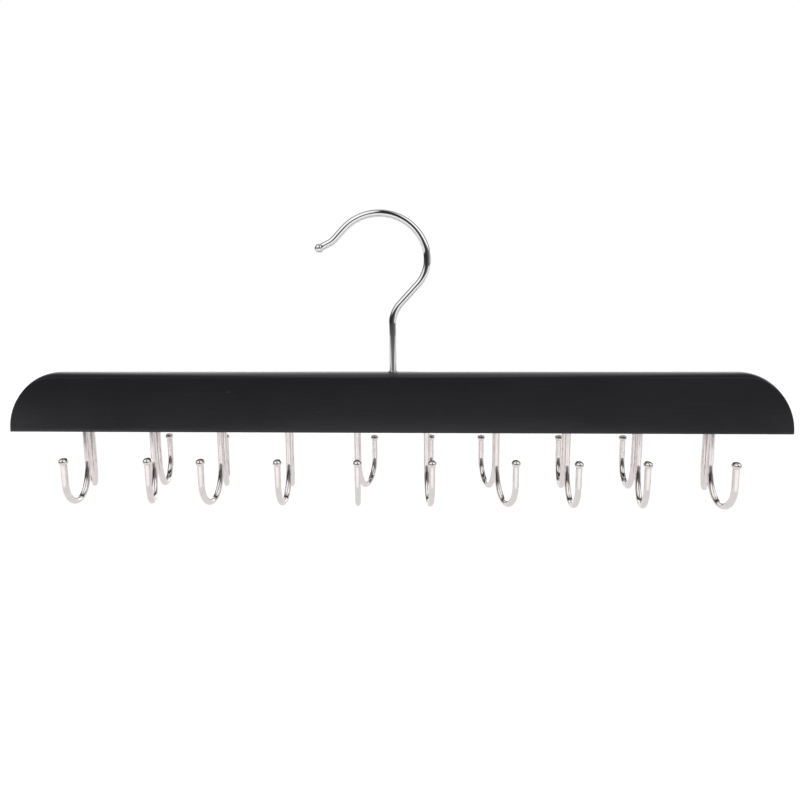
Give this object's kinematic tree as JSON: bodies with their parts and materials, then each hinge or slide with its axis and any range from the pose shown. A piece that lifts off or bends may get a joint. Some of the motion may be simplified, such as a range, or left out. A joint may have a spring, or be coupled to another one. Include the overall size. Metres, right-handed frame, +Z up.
{
  "type": "multi-hook hanger",
  "caption": "Wooden bar with two rows of J-shaped wire hooks under it, turning on the neck of a bent wire hook that hangs on a closet rod.",
  "frame": {"origin": "where the closet rod bears: the top of the inside of the swivel hook's loop", "axes": "+X along the bar, to the right as seen from the front; -Y to the front; +Z up, along the neck that the bar turns on"},
  "size_m": [0.427, 0.0503, 0.1569],
  "materials": {
    "lacquered_wood": "black satin lacquer",
    "bright_nickel": "bright nickel plate on steel wire",
    "polished_chrome": "polished chrome plate on steel wire",
    "zinc_plate": "zinc plate"
  },
  "bodies": {
    "swivel_hook": {"swivel_hook": "polished_chrome", "swivel_washer": "zinc_plate"},
    "bar": {"bar": "lacquered_wood", "swivel_ferrule": "bright_nickel", "front_hook_01": "bright_nickel", "front_hook_02": "bright_nickel", "front_hook_03": "bright_nickel", "front_hook_04": "bright_nickel", "front_hook_05": "bright_nickel", "front_hook_06": "bright_nickel", "front_hook_07": "bright_nickel", "front_hook_08": "bright_nickel", "front_hook_09": "bright_nickel", "front_hook_10": "bright_nickel", "back_hook_01": "bright_nickel", "back_hook_02": "bright_nickel", "back_hook_03": "bright_nickel", "back_hook_04": "bright_nickel", "back_hook_05": "bright_nickel", "back_hook_06": "bright_nickel", "back_hook_07": "bright_nickel", "back_hook_08": "bright_nickel", "back_hook_09": "bright_nickel", "back_hook_10": "bright_nickel"}
  },
  "joints": [
    {"name": "hook_swivel", "type": "hinge", "parent": "swivel_hook", "child": "bar", "pos_m": [0.00689, 0, -0.08263], "axis": [0, 0, 1], "continuous": true}
  ]
}
